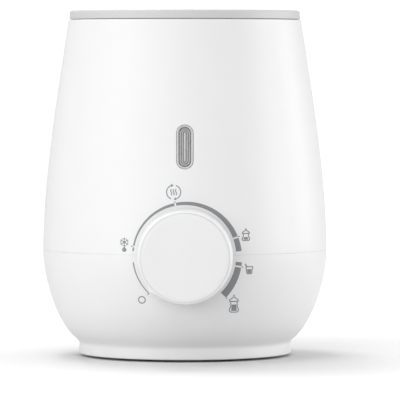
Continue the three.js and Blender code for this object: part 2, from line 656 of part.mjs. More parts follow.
const leads = {
  fuse_lead: ["redLead", [[-11, 19.5, blockZ], [-11, 19.5, 28], [-12.5, 17.5, 32.5], [-14, 12.3, 34]]],
  thermostat_lead: ["redLead", [
    [-14, -2.3, 34],
    [-13, -6, 33.5],
    [-8, -6, 33],
    [-BLADE.x - 0.5, -2, 34],
    [-BLADE.x, -0.2, 36.5],
    [-BLADE.x, 0, bladeZ],
  ]],
  right_heater_lead: ["redLead", [
    [BLADE.x, 0, bladeZ],
    [BLADE.x, 0.4, 36],
    [4.5, 6, 31.5],
    [5, 16, 30],
    [rightPin[0], rightPin[1] - 0.3, 32],
    [...rightPin, pinZ],
  ]],
  left_heater_lead: ["whiteLead", [[-4, 19.5, blockZ], [-4, 19.5, 28], [-4.8, 21, 32], [...leftPin, pinZ]]],
  sensor_lead: ["whiteLead", [
    [28, -6.3, SPREADER.bottom - 2.3],
    [27.6, -10, 54.4],
    [22, -24, 48],
    [14, -37, 45],
    [12, -43.5, 46],
    [12, -BOARD.back + GAP, 47],
  ]],
};
for (const [name, [finish, points]] of Object.entries(leads)) {
  part(name, sweep(disc(LEAD_RADIUS), points, 14), finish);
}

// Flat ribbon from the power board up to the back of the control board.
const ribbonSection = new THREE.Shape().moveTo(-4, -0.6).lineTo(4, -0.6).lineTo(4, 0.6).lineTo(-4, 0.6);
const ribbonPath = [
  [10, -14, onBoard],
  [10, -14.2, 18],
  [10, -21, 27],
  [10, -34, 34.5],
  [10, -43, 37],
  [10, -BOARD.back + GAP, 37.5],
];
part("board_ribbon", sweep(ribbonSection, ribbonPath, 12), "whiteLead");

export default new THREE.Group().add(warmer);
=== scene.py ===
import json
import math

import bmesh
import bpy
from mathutils import Matrix, Vector


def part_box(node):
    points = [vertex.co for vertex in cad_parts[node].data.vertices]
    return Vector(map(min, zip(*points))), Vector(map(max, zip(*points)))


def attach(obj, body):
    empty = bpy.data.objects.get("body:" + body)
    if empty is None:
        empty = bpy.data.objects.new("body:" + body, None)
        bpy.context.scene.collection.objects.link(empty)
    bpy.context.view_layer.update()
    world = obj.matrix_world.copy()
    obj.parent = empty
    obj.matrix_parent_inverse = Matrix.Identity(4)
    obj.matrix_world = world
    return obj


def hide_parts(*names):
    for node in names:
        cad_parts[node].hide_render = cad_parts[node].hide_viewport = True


# A baby bottle warmer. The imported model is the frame; the pieces made here are the smooth versions of the
# pieces that show, the printed dial scale and the finishes. Outlines are in millimetres, in the barrel's own
# frame: its axis is x = y = 0, its front is towards -Y and z = 0 is the table.

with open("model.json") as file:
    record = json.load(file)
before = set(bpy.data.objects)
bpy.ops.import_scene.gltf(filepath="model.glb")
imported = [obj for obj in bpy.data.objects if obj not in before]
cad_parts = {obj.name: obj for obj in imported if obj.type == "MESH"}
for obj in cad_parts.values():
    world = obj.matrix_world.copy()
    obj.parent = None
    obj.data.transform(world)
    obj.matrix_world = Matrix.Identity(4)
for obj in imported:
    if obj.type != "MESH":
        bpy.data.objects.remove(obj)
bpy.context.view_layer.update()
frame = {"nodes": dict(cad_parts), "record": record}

MM = 0.001
SEGMENTS = 224  # round the barrel
FLOOR_RADIUS = 600


def millimetres(node):
    """Lowest and highest corner of a CAD node, in millimetres."""
    low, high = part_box(node)
    return low / MM, high / MM


# ------------------------------------------------------------------ sizes taken from the frame

upper_low, upper_high = millimetres("upper_housing")
rim_low, rim_high = millimetres("rim_ring")
face_low, face_high = millimetres("knob_face")
knob_low, knob_high = millimetres("knob_shell")
lens_low, lens_high = millimetres("lens_bezel")
plate_low, plate_high = millimetres("heating_plate")
base_low, base_high = millimetres("base_plate")
board_low, board_high = millimetres("control_board")
grommet_low, grommet_high = millimetres("cord_grommet")
FOOT_BOTTOM = millimetres("lower_housing")[0].z
BOWL_BOTTOM = millimetres("bowl")[0].z
POWER_BOARD_BOTTOM = millimetres("power_board")[0].z

AXIS_Y = (rim_low.y + rim_high.y) / 2  # of the barrel
BODY_RADIUS = upper_high.x
SEAM_Z = upper_low.z - 0.15
UPPER_TOP_Z = upper_high.z
UPPER_TOP_RADIUS = 52.5
FOOT_RADIUS = 47.9
WAIST_RADIUS = 47.6
WAIST_Z = 6.4
WALL = 2.2
GAP = 0.3  # clearance between pieces that touch on the real object
LEDGE_BOTTOM, LEDGE_TOP = 4.5, 6.6  # shelf inside the foot, above the base plate
LEDGE_RADIUS = 38
BASE_TOP = 4.2  # of the base plate

KNOB_Z = (face_low.z + face_high.z) / 2
KNOB_FRONT = AXIS_Y - knob_low.y  # distances in front of the barrel's axis
KNOB_BACK = AXIS_Y - knob_high.y
SHAFT_HOLE_RADIUS = 4.6
LENS_Z = (lens_low.z + lens_high.z) / 2
PLATE_TOP = plate_high.z
BOWL_RADIUS = 42
OUTLET_Z = (grommet_low.z + grommet_high.z) / 2
OUTLET_FACE = 58
OUTLET_RADIUS = 8.6
PAD_RADIUS = 6
BOARD_FRONT, BOARD_BACK = -48.6, -47  # of the control board, from the barrel's axis

UPPER_CURVE = [
    Vector((BODY_RADIUS, SEAM_Z)),
    Vector((BODY_RADIUS, SEAM_Z + 37.4)),
    Vector((UPPER_TOP_RADIUS + 1.4, UPPER_TOP_Z - 12.2)),
    Vector((UPPER_TOP_RADIUS, UPPER_TOP_Z)),
]
LOWER_CURVE = [
    Vector((WAIST_RADIUS + 0.9, WAIST_Z + 0.9)),
    Vector((WAIST_RADIUS + 10.9, WAIST_Z + 8.2)),
    Vector((BODY_RADIUS, SEAM_Z - 12.2)),
    Vector((BODY_RADIUS, SEAM_Z)),
]


def bezier(curve, t):
    """Point and direction at t on a cubic curve."""
    a, b, c, d = curve
    u = 1 - t
    point = a * u**3 + b * 3 * u * u * t + c * 3 * u * t * t + d * t**3
    along = (b - a) * u * u + (c - b) * 2 * u * t + (d - c) * t * t
    return point, along.normalized()


def curve_points(curve, inset, steps, start, end):
    """Points along a curve, moved inwards by the inset."""
    points = []
    for i in range(steps + 1):
        at, along = bezier(curve, start + (end - start) * i / steps)
        points.append((at.x - along.y * inset, at.y + along.x * inset))
    return points


def barrel_surface(z):
    """Radius and slope from upright of the barrel at a height."""
    curve = UPPER_CURVE if z > SEAM_Z else LOWER_CURVE
    low, high = 0.0, 1.0
    while high - low > 1e-7:
        middle = (low + high) / 2
        if bezier(curve, middle)[0].y < z:
            low = middle
        else:
            high = middle
    at, along = bezier(curve, low)
    return at.x, math.atan2(-along.x, along.y)


def front_point(x, z, lift):
    """Point on the front of the barrel, lifted off its surface."""
    radius, slope = barrel_surface(z)
    depth = math.sqrt(radius * radius - x * x)
    out = lift * math.cos(slope) / radius
    return Vector((x + x * out, -depth - depth * out, z + lift * math.sin(slope)))


# ------------------------------------------------------------------ places

BARREL = Matrix.Translation((0, AXIS_Y, 0))


def facing_out(origin, tilt):
    """Frame whose +Z leaves the front of the barrel, tilted upwards, with +X to the right."""
    return BARREL @ Matrix.Translation(origin) @ Matrix.Rotation(math.pi / 2 - tilt, 4, "X")


lens_radius, lens_slope = barrel_surface(LENS_Z)
DIAL = facing_out((0, 0, KNOB_Z), 0)
LENS = facing_out((0, -lens_radius, LENS_Z), lens_slope)
OUTLET = BARREL @ Matrix.Translation((0, OUTLET_FACE, OUTLET_Z)) @ Matrix.Rotation(-math.pi / 2, 4, "X")


def places(name, count):
    """Places on the table below the middles of numbered CAD nodes."""
    found = []
    for i in range(count):
        low, high = millimetres(f"{name}_{i + 1}")
        found.append(Matrix.Translation(((low.x + high.x) / 2, (low.y + high.y) / 2, 0)))
    return found


PILLARS = places("support_pillar", 3)
CLAMP_SCREWS = places("clamp_screw", 3)
BASE_SCREWS = places("base_screw", 3)
BOARD_SCREWS = places("board_screw", 4)
PADS = places("rubber_foot", 4)

# ------------------------------------------------------------------ mesh tools


def rounded(corners, steps=5):
    """Outline through corners (a, b) or (a, b, radius), where a radius rounds its corner with an arc."""
    outline = []
    for i, corner in enumerate(corners):
        at = Vector(corner[:2])
        if len(corner) < 3:
            outline.append(tuple(at))
            continue
        before = (Vector(corners[i - 1][:2]) - at).normalized()
        after = (Vector(corners[(i + 1) % len(corners)][:2]) - at).normalized()
        half = math.acos(max(-1.0, min(1.0, before.dot(after)))) / 2
        reach = corner[2] / math.tan(half)
        centre = at + (before + after).normalized() * corner[2] / math.sin(half)
        start = at + before * reach - centre
        turn = start.angle_signed(at + after * reach - centre)
        for step in range(steps + 1):
            spin = Matrix.Rotation(-turn * step / steps, 2)
            outline.append(tuple(centre + spin @ start))
    return outline


def swept_ring(rings, closed):
    """Faces between equal rings of vertices, with a flat cap at each end, or closed on itself."""
    count = len(rings[0])
    vertices = [point for ring in rings for point in ring]
    faces = []
    last = len(rings) if closed else len(rings) - 1
    for i in range(last):
        a, b = i * count, (i + 1) % len(rings) * count
        faces += [(a + j, a + (j + 1) % count, b + (j + 1) % count, b + j) for j in range(count)]
    if not closed:
        faces.append(tuple(reversed(range(count))))
        faces.append(tuple(range((len(rings) - 1) * count, len(rings) * count)))
    return vertices, faces


def circle_ring(r, z, segments, bulge=None):
    """Ring of points of one radius, swollen by bulge(angle, r, z) if it is given."""
    ring = []
    for j in range(segments):
        angle = 2 * math.pi * j / segments
        reach = r + (bulge(angle, r, z) if bulge else 0)
        ring.append((reach * math.cos(angle), reach * math.sin(angle), z))
    return ring


def revolve(outline, segments=SEGMENTS, bulge=None):
    """Outline [(r, z), ...] turned about Z. It is closed on itself, or has flat caps where r is small."""
    closed = min(outline[0][0], outline[-1][0]) > 0.5
    return swept_ring([circle_ring(r, z, segments, bulge) for r, z in outline], closed)


def slot_ring(offset, z, half_straight, arc_steps=16):
    """Ring of points at an offset from an upright line, which makes a slot outline with round ends."""
    ring = []
    for end, first in ((1, 0), (-1, math.pi)):
        for j in range(arc_steps + 1):
            angle = first + math.pi * j / arc_steps
            ring.append((offset * math.cos(angle), end * half_straight + offset * math.sin(angle), z))
    return ring


def slot_solid(outline, half_straight, closed=False):
    """Outline [(offset, z), ...] swept round an upright line, with flat caps or closed on itself."""
    return swept_ring([slot_ring(d, z, half_straight) for d, z in outline], closed)


def make(name, solid, place=BARREL, sharp=35):
    """Mesh object from vertices in millimetres and faces, with its normals out and its edges smooth."""
    vertices, faces = solid
    mesh = bpy.data.meshes.new(name)
    mesh.from_pydata([(place @ Vector(v)) * MM for v in vertices], [], faces)
    tidy = bmesh.new()
    tidy.from_mesh(mesh)
    bmesh.ops.remove_doubles(tidy, verts=tidy.verts, dist=1e-7)
    bmesh.ops.recalc_face_normals(tidy, faces=tidy.faces)
    tidy.to_mesh(mesh)
    tidy.free()
    piece = bpy.data.objects.new(name, mesh)
    bpy.context.scene.collection.objects.link(piece)
    smooth(piece, sharp)
    return piece


def smooth(piece, sharp):
    """Smooth shading, with sharp edges where faces meet at more than an angle in degrees."""
    mesh = piece.data
    mesh.polygons.foreach_set("use_smooth", [True] * len(mesh.polygons))
    mesh.set_sharp_from_angle(angle=math.radians(sharp))


def carve(piece, tools, operation="DIFFERENCE", sharp=35):
    """Cuts the tools out of a piece, or joins them to it, and deletes them."""
    for tool in tools:
        step = piece.modifiers.new("carve", "BOOLEAN")
        step.operation = operation
        step.solver = "MANIFOLD"
        step.object = tool
    graph = bpy.context.evaluated_depsgraph_get()
    carved = bpy.data.meshes.new_from_object(piece.evaluated_get(graph))
    piece.modifiers.clear()
    piece.data = carved
    for tool in tools:
        bpy.data.objects.remove(tool)
    smooth(piece, sharp)
    return piece


def finish_piece(piece, body, slot, material, *nodes):
    """Gives a piece its finish and its body, and hides the CAD nodes that it stands for."""
    piece.data.materials.clear()
    piece.data.materials.append(material)
    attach(piece, body)
    if nodes:
        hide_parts(*nodes)
    return piece


# ------------------------------------------------------------------ materials


class Nodes:
    """A material's node tree, with a Principled shader already in it."""

    def __init__(self, name):
        self.material = bpy.data.materials.new(name)
        self.material.use_nodes = True
        self.tree = self.material.node_tree
        self.shader = self.tree.nodes["Principled BSDF"]

    def add(self, kind, **values):
        node = self.tree.nodes.new(kind)
        for key, value in values.items():
            if key in node.inputs:
                node.inputs[key].default_value = value
            else:
                setattr(node, key, value)
        return node

    def link(self, source, target):
        self.tree.links.new(source, target)

    def place(self):
        """Position on the piece, in metres in the shared frame."""
        return self.add("ShaderNodeTexCoord").outputs["Object"]

    def noise(self, scale, detail=2.0, place=None):
        node = self.add("ShaderNodeTexNoise", Scale=scale, Detail=detail)
        self.link(place or self.place(), node.inputs["Vector"])
        return node.outputs["Fac"]

    def between(self, fac, low, high, start=0.3, end=0.7):
        """A number that runs from low to high as fac goes from start to end."""
        node = self.add("ShaderNodeMapRange")
        for socket, value in zip(node.inputs[1:5], (start, end, low, high)):
            socket.default_value = value
        self.link(fac, node.inputs[0])
        return node.outputs[0]

    def mix(self, fac, low, high):
        """A colour between two colours, of which the second may be another node's."""
        node = self.add("ShaderNodeMix", data_type="RGBA")
        self.link(fac, node.inputs[0])
        node.inputs[6].default_value = (*low, 1)
        if isinstance(high, tuple):
            node.inputs[7].default_value = (*high, 1)
        else:
            self.link(high, node.inputs[7])
        return node.outputs[2]

    def bump(self, height, strength, distance):
        node = self.add("ShaderNodeBump", Strength=strength, Distance=distance)
        self.link(height, node.inputs["Height"])
        self.link(node.outputs[0], self.shader.inputs["Normal"])


def shade(colour, factor):
    """A colour made darker or lighter."""
    return tuple(c * factor for c in colour)


def moulded(name, colour, roughness, grain=2200, depth=0.012, **sockets):
    """Moulded plastic, rubber or ceramic: faint clouding, uneven gloss and a fine tool texture."""
    n = Nodes(name)
    clouds = n.between(n.noise(55, 3), 0, 1)
    n.link(n.mix(clouds, shade(colour, 0.985), colour), n.shader.inputs["Base Color"])
    n.link(n.between(n.noise(160, 4), roughness - 0.03, roughness + 0.03), n.shader.inputs["Roughness"])
    n.bump(n.noise(grain, 3), 0.35, depth * MM)
    for key, value in sockets.items():
        n.shader.inputs[key.replace("_", " ")].default_value = value
    return n.material


def metal(name, colour, roughness, stretch=(1, 1, 60)):
    """Drawn or plated metal, with fine streaks along two axes."""
    n = Nodes(name)
    mapping = n.add("ShaderNodeMapping", Scale=stretch)
    n.link(n.place(), mapping.inputs["Vector"])
    streaks = n.noise(400, 4, mapping.outputs[0])
    n.link(n.mix(n.between(streaks, 0, 1), shade(colour, 0.88), colour), n.shader.inputs["Base Color"])
    n.link(n.between(streaks, roughness - 0.06, roughness + 0.08), n.shader.inputs["Roughness"])
    n.bump(streaks, 0.2, 0.01 * MM)
    n.shader.inputs["Metallic"].default_value = 1
    return n.material


def spun_metal(name, colour, roughness):
    """Plate turned on a lathe: fine rings about the barrel's axis, and a highlight drawn across them."""
    n = Nodes(name)
    centred = n.add("ShaderNodeVectorMath", operation="SUBTRACT")
    n.link(n.place(), centred.inputs[0])
    centred.inputs[1].default_value = (0, AXIS_Y * MM, PLATE_TOP * MM)
    rings = n.add("ShaderNodeTexWave", wave_type="RINGS", rings_direction="Z", Scale=420, Distortion=1.2)
    rings.inputs["Detail Scale"].default_value = 3
    n.link(centred.outputs[0], rings.inputs["Vector"])
    patches = n.noise(90, 4)
    tone = n.add("ShaderNodeMath", operation="MULTIPLY")
    n.link(rings.outputs["Fac"], tone.inputs[0])
    n.link(patches, tone.inputs[1])
    n.link(n.mix(tone.outputs[0], shade(colour, 0.86), colour), n.shader.inputs["Base Color"])
    n.link(n.between(patches, roughness - 0.05, roughness + 0.09), n.shader.inputs["Roughness"])
    n.bump(rings.outputs["Fac"], 0.25, 0.02 * MM)
    n.shader.inputs["Metallic"].default_value = 1
    n.shader.inputs["Anisotropic"].default_value = 0.6
    tangent = n.add("ShaderNodeTangent", direction_type="RADIAL", axis="Z")
    n.link(tangent.outputs[0], n.shader.inputs["Tangent"])
    return n.material


def circuit_board(name):
    """Green laminate with copper tracks that show through, and a few pale pads."""
    n = Nodes(name)
    tracks = n.add("ShaderNodeTexBrick", Scale=260, offset=0.35, squash=1.6)
    tracks.inputs["Mortar Size"].default_value = 0.035
    tracks.inputs["Color1"].default_value = (0.012, 0.12, 0.05, 1)
    tracks.inputs["Color2"].default_value = (0.016, 0.16, 0.07, 1)
    tracks.inputs["Mortar"].default_value = (0.05, 0.26, 0.10, 1)
    turned = n.add("ShaderNodeMapping", Rotation=(math.pi / 2, 0, 0))
    n.link(n.place(), turned.inputs["Vector"])
    n.link(turned.outputs[0], tracks.inputs["Vector"])
    n.link(tracks.outputs["Color"], n.shader.inputs["Base Color"])
    n.bump(tracks.outputs["Fac"], 0.4, 0.03 * MM)
    n.link(n.between(n.noise(300), 0.3, 0.42), n.shader.inputs["Roughness"])
    return n.material


WHITE = (0.83, 0.83, 0.835)
white_shell = moulded("white_shell", WHITE, 0.46, Coat_Weight=0.06, Coat_Roughness=0.25)
white_knob = moulded("white_knob", shade(WHITE, 1.01), 0.46)
rim_grey = moulded("rim_grey", (0.60, 0.605, 0.605), 0.46, grain=1500, depth=0.02)
bowl_plastic = moulded("bowl_plastic", (0.74, 0.74, 0.735), 0.4)
lens_grey = moulded("lens_grey", (0.56, 0.56, 0.565), 0.3, Coat_Weight=0.4, Coat_Roughness=0.05)
bezel_grey = moulded("bezel_grey", (0.60, 0.60, 0.605), 0.28)
ink = moulded("print_ink", (0.25, 0.255, 0.27), 0.45, grain=5000, depth=0.004)
foot_rubber = moulded("foot_rubber", (0.20, 0.205, 0.21), 0.75, grain=900, depth=0.05)
grommet_rubber = moulded("grommet_rubber", (0.55, 0.55, 0.55), 0.6, grain=900, depth=0.04)
plate_metal = spun_metal("plate_metal", (0.72, 0.725, 0.73), 0.28)
screw_steel = metal("screw_steel", (0.60, 0.61, 0.62), 0.3)

# Finish of each kind of CAD node that shows as it is, by the record's material slot.
INNER_FINISHES = {
    "silicone": moulded("silicone", (0.60, 0.60, 0.57), 0.5, Subsurface_Weight=0.1),
    "aluminium_parts": metal("aluminium_parts", (0.74, 0.75, 0.76), 0.35),
    "bright_steel": screw_steel,
    "heater_steel": metal("heater_steel", (0.32, 0.30, 0.28), 0.42, stretch=(60, 60, 60)),
    "ceramic": moulded("ceramic", (0.76, 0.73, 0.64), 0.45, grain=1200),
    "circuit_board": circuit_board("circuit_board"),
    "black_plastic": moulded("black_plastic", (0.02, 0.02, 0.022), 0.5, grain=1200),
    "blue_plastic": moulded("blue_plastic", (0.02, 0.09, 0.30), 0.4),
    "led_plastic": moulded("led_plastic", (0.70, 0.70, 0.66), 0.15, Coat_Weight=0.5),
    "reflector_white": moulded("reflector_white", (0.85, 0.85, 0.85), 0.25),
    "red_lead": moulded("red_lead", (0.45, 0.03, 0.025), 0.5, grain=1200),
    "white_lead": moulded("white_lead", (0.72, 0.71, 0.66), 0.5, grain=1200),
}

# ------------------------------------------------------------------ barrel

SEAM_GAP = 0.012  # half of the visible joint between the housings
LENS_STRAIGHT = 6.05  # half of the lens's straight sides
BEZEL_EDGE = 3.6  # half of the bezel's width
CLIP_INNER, CLIP_OUTER, CLIP_WIDTH = 47, 48.4, 8  # snap legs below the rim ring


def slot_tool(name, reach, depth, front, place):
    """Solid slot with the lens's straight sides, from a depth up to the front."""
    outline = [(0.01, -depth), (reach, -depth), (reach, front), (0.01, front)]
    return make(name, slot_solid(outline, LENS_STRAIGHT), place)


def round_tool(name, radius, low, high, place, segments=64):
    """Cylinder on the Z axis of a place."""
    return make(name, revolve([(0.01, low), (radius, low), (radius, high), (0.01, high)], segments), place)


def posts(name, radius, low, high, spots):
    """Equal cylinders at several places."""
    return [round_tool(name, radius, low, high, spot, 40) for spot in spots]


def block(name, xs, ys, zs, place=BARREL):
    """Box from pairs of limits along each axis."""
    corners = [(xs[0], ys[0]), (xs[1], ys[0]), (xs[1], ys[1]), (xs[0], ys[1])]
    return make(name, swept_ring([[(x, y, z) for x, y in corners] for z in zs], False), place)


def clip_blocks(inner, outer, clearance, low, high):
    """Blocks at the rim ring's three snap legs, between two radii and widened by a clearance."""
    xs = (inner - clearance, outer + clearance)
    half = CLIP_WIDTH / 2 + clearance
    blocks = []
    for turn in (60, 180, 300):
        spin = BARREL @ Matrix.Rotation(math.radians(turn), 4, "Z")
        blocks.append(block("clip", xs, (-half, half), (low, high), spin))
    return blocks


def inside_of(curve, start, end, low, high):
    """Solid that fills the barrel to the middle of its wall, along a stretch of a curve."""
    outline = [(0.01, low), *curve_points(curve, WALL / 2, 24, start, end), (0.01, high)]
    return make("inside", revolve(outline, 96))


def board_rails():
    """Upright rails inside the front wall that hold the control board by its edges."""
    low, high = SEAM_Z + 12, 112
    rails = []
    for side in (-1, 1):
        xs = sorted((side * (board_high.x - 1.5), side * (board_high.x + 3)))
        groove = sorted((side * (board_high.x - 3), side * (board_high.x + GAP)))
        rail = block("rail", xs, (-60.5, BOARD_BACK + 1.4), (low, high))
        carve(rail, [block("groove", groove, (BOARD_FRONT - GAP, BOARD_BACK + GAP), (0, 200))])
        rails.append(carve(rail, [inside_of(UPPER_CURVE, 0.05, 0.75, SEAM_Z, 130)], "INTERSECT"))
    return rails


def board_ribs():
    """Ribs inside the front of the lower housing that carry the control board."""
    ribs = []
    for x in (-12, 12):
        rib = block("rib", (x - 2, x + 2), (-56, -45.6), (LEDGE_TOP - 0.6, board_low.z - GAP))
        ribs.append(carve(rib, [inside_of(LOWER_CURVE, 0.02, 0.8, LEDGE_BOTTOM, 45)], "INTERSECT"))
    return ribs


def upper_housing():
    bottom = SEAM_Z + SEAM_GAP
    ledge = UPPER_TOP_Z - WALL
    outline = rounded(
        [(BODY_RADIUS, bottom, 0.12), *curve_points(UPPER_CURVE, 0, 64, 0.008, 0.992)]
        + [(UPPER_TOP_RADIUS, UPPER_TOP_Z, 0.35), (45, UPPER_TOP_Z, 0.3), (45, ledge)]
        + curve_points(UPPER_CURVE, WALL, 20, 0.975, 0.06)
        + [(61.8, 50.9), (62.9, 50.9), (62.9, bottom)]
    )
    piece = make("upper_shell", revolve(outline))
    carve(piece, board_rails(), "UNION")
    carve(piece, [
        slot_tool("lens_hole", BEZEL_EDGE + 0.18, 8, 4, LENS),
        round_tool("shaft_hole", SHAFT_HOLE_RADIUS, 50, 70, DIAL),
        *clip_blocks(CLIP_INNER, CLIP_OUTER, 0.4, ledge - 1, UPPER_TOP_Z + 1),
    ])
    return finish_piece(piece, "housing", "white_shell", white_shell, "upper_housing")


def lower_housing():
    top = SEAM_Z - SEAM_GAP
    inner_foot = FOOT_RADIUS - 2.4
    outline = rounded(
        [(FOOT_RADIUS, FOOT_BOTTOM, 0.7), (WAIST_RADIUS, WAIST_Z, 2.6)]
        + curve_points(LOWER_CURVE, 0, 64, 0.07, 0.99)
        + [(BODY_RADIUS, top, 0.12), (62.6, top), (62.6, 50.4), (61.8, 50.4)]
        + curve_points(LOWER_CURVE, WALL, 20, 0.97, 0.06)
        + [(inner_foot, LEDGE_TOP), (LEDGE_RADIUS, LEDGE_TOP), (LEDGE_RADIUS, LEDGE_BOTTOM)]
        + [(inner_foot, LEDGE_BOTTOM), (inner_foot, FOOT_BOTTOM, 0.4)]
    )
    piece = make("lower_shell", revolve(outline))
    # The outlet's flat face is sunk into the wall at its top and stands out of it at its bottom, so the wall
    # is made thicker round it.
    backing = round_tool("backing", OUTLET_RADIUS + 1.4, -OUTLET_RADIUS, 3, OUTLET)
    carve(backing, [inside_of(LOWER_CURVE, 0.02, 0.9, LEDGE_BOTTOM, 46)], "INTERSECT")
    carve(piece, [
        backing,
        round_tool("snout", OUTLET_RADIUS, -OUTLET_RADIUS, 0, OUTLET),
        *posts("pillar_seat", 3.6, LEDGE_BOTTOM + 1, LEDGE_TOP + 2.4, PILLARS),
        *posts("screw_boss", 3.4, LEDGE_BOTTOM + 1, LEDGE_TOP + 7.4, BASE_SCREWS),
        *board_ribs(),
    ], "UNION")
    carve(piece, [
        round_tool("shaft_hole", SHAFT_HOLE_RADIUS, 50, 70, DIAL),
        round_tool("outlet_pocket", OUTLET_RADIUS, 0, 10, OUTLET),
        round_tool("outlet_hollow", 6.6, -15, -3, OUTLET),
        round_tool("outlet_hole", 5, -9, 3, OUTLET),
        *posts("tie_hole", 1.7, 4, 10, PILLARS),
        *posts("tie_head", 3.1, 4, LEDGE_TOP, PILLARS),
        *posts("screw_hole", 1.6, 4, 12.5, BASE_SCREWS),
    ])
    return finish_piece(piece, "housing", "white_shell", white_shell, "lower_housing")


def rim_ring():
    bottom, top = UPPER_TOP_Z + 0.25, rim_high.z
    outline = rounded([
        (52, bottom, 0.25), (51.75, top, 0.95), (BOWL_RADIUS, top, 1.0), (BOWL_RADIUS, UPPER_TOP_Z + 2.4),
        (50.3, UPPER_TOP_Z + 2.4), (50.3, bottom),
    ], 8)
    piece = make("rim", revolve(outline))
    legs = clip_blocks(CLIP_INNER, CLIP_OUTER, 0, rim_low.z, UPPER_TOP_Z + 2.9)
    barbs = clip_blocks(CLIP_OUTER - 0.5, CLIP_OUTER + 1, 0, rim_low.z, UPPER_TOP_Z - WALL - GAP)
    carve(piece, legs + barbs, "UNION")
    return finish_piece(piece, "housing", "grey_rim", rim_grey, "rim_ring")


# ------------------------------------------------------------------ bowl and heating plate


def bowl():
    outer, flange = BOWL_RADIUS + WALL, UPPER_TOP_Z + 0.3
    floor = PLATE_TOP + 0.2
    outline = rounded([
        (36, floor - 1.8), (outer, floor - 1.8), (outer, flange), (50, flange), (50, flange + 1.8),
        (BOWL_RADIUS, flange + 1.8, 0.4), (BOWL_RADIUS, floor, 3.5), (36, floor, 0.5),
    ], 8)
    piece = make("water_bowl", revolve(outline))
    carve(piece, [
        *posts("clamp_boss", 3, BOWL_BOTTOM, floor - 1, CLAMP_SCREWS),
        *posts("pillar_boss", 4, BOWL_BOTTOM, floor - 1, PILLARS),
    ], "UNION")
    carve(piece, [
        *posts("boss_hole", 1.6, BOWL_BOTTOM - 1, floor - 2.2, CLAMP_SCREWS + PILLARS),
        *clip_blocks(CLIP_INNER, CLIP_OUTER, 0.4, UPPER_TOP_Z, flange + 3),
    ])
    return finish_piece(piece, "housing", "bowl_plastic", bowl_plastic, "bowl")


def heating_plate():
    """Flat seat with a sunk ring and a small dimple, pressed in one piece with the flange below it."""
    top, bottom = PLATE_TOP, plate_low.z
    outline = rounded([
        (0.01, top - 0.35), (3.2, top - 0.35, 0.8), (4.6, top, 1.2), (24, top, 0.8), (24.8, top - 0.5, 0.6),
        (27.6, top - 0.5, 0.6), (28.4, top, 0.8), (35.7, top, 0.9), (35.7, bottom + 1.4, 0.5),
        (38.7, bottom + 1.4), (38.7, bottom), (34.3, bottom), (34.3, top - 1.5), (0.01, top - 1.5),
    ], 6)
    piece = make("hot_plate", revolve(outline), sharp=50)
    return finish_piece(piece, "housing", "plate_metal", plate_metal, "heating_plate")


# ------------------------------------------------------------------ indicator light


def indicator_lens():
    """Slot-shaped lens whose face is a set of ribs that run round it, one inside the other."""
    edge, pitch, first = 2.6, 0.87, 0.22
    outline = [(edge, -3), (edge, -0.65), (edge - 0.12, -0.52)]
    steps = 36
    for i in range(steps):
        d = (edge - 0.14) * (1 - i / steps) + 0.02
        wave = math.cos(2 * math.pi * max(0.0, d - first) / pitch)
        outline.append((d, -0.6 + 0.5 * wave))
    piece = make("light_lens", slot_solid(outline, LENS_STRAIGHT - 0.08), LENS, sharp=80)
    return finish_piece(piece, "housing", "lens_grey", lens_grey, "indicator_lens")


def lens_bezel():
    outline = rounded([
        (2.7, -2.8), (BEZEL_EDGE, -2.8), (BEZEL_EDGE, -0.12, 0.2), (3.25, -0.02, 0.2), (2.7, -0.5, 0.15),
    ], 4)
    piece = make("light_bezel", slot_solid(outline, LENS_STRAIGHT, closed=True), LENS)
    return finish_piece(piece, "housing", "bezel_grey", bezel_grey, "lens_bezel")


# ------------------------------------------------------------------ dial knob

POINTER_ANGLE = math.radians(225)
FACE_RADIUS = 19.4


def nose(angle, r, z):
    """Small beak on the drum's side, which points at the setting."""
    if r < FACE_RADIUS + 0.3:
        return 0
    across = abs(angle - POINTER_ANGLE) * r
    flank = math.sqrt(across * across + 0.12)
    return 1.4 * math.exp(-((flank / 1.7) ** 1.5)) * min(1.0, (r - FACE_RADIUS) / 0.7)


def knob():
    front, back = KNOB_FRONT, KNOB_BACK
    base, web = 21, KNOB_FRONT - 1.5
    shoulder = []  # quarter of an ellipse between the face and the side
    for i in range(13):
        turn = math.pi / 2 * i / 12
        across, down = 1.05 * math.sin(turn), 2.2 * (1 - math.cos(turn))
        shoulder.append((FACE_RADIUS + 0.06 + across, front - 0.04 - down))
    outline = rounded([
        (0.01, web), (FACE_RADIUS, web), (FACE_RADIUS, front - 0.04, 0.05), *shoulder, (base, back, 0.4),
        (base - 1.8, back), (18.2, web - 1.6), (5.4, web - 1.6), (5.4, back + 1.5), (0.01, back + 1.5),
    ], 6)
    shell = make("dial_knob", revolve(outline, 288, nose), DIAL)
    carve(shell, [round_tool("shaft_bore", 3.4, back, web - 1.6, DIAL, 48)])
    finish_piece(shell, "knob", "white_knob", white_knob, "knob_shell")

    edge = FACE_RADIUS - 0.06
    outline = rounded([(0.01, web + 0.3), (edge, web + 0.3), (edge, front - 0.12, 0.1)])
    for i in range(13):  # very flat dome, from its edge to its middle
        rise = 0.06 * math.sin(i * math.pi / 24)
        outline.append(((FACE_RADIUS - 0.35) * (1 - i / 12) + 0.01, front - 0.06 + rise))
    face = make("dial_face", revolve(outline, 192), DIAL)
    finish_piece(face, "knob", "white_knob", white_knob, "knob_face")


# ------------------------------------------------------------------ underside and outlet


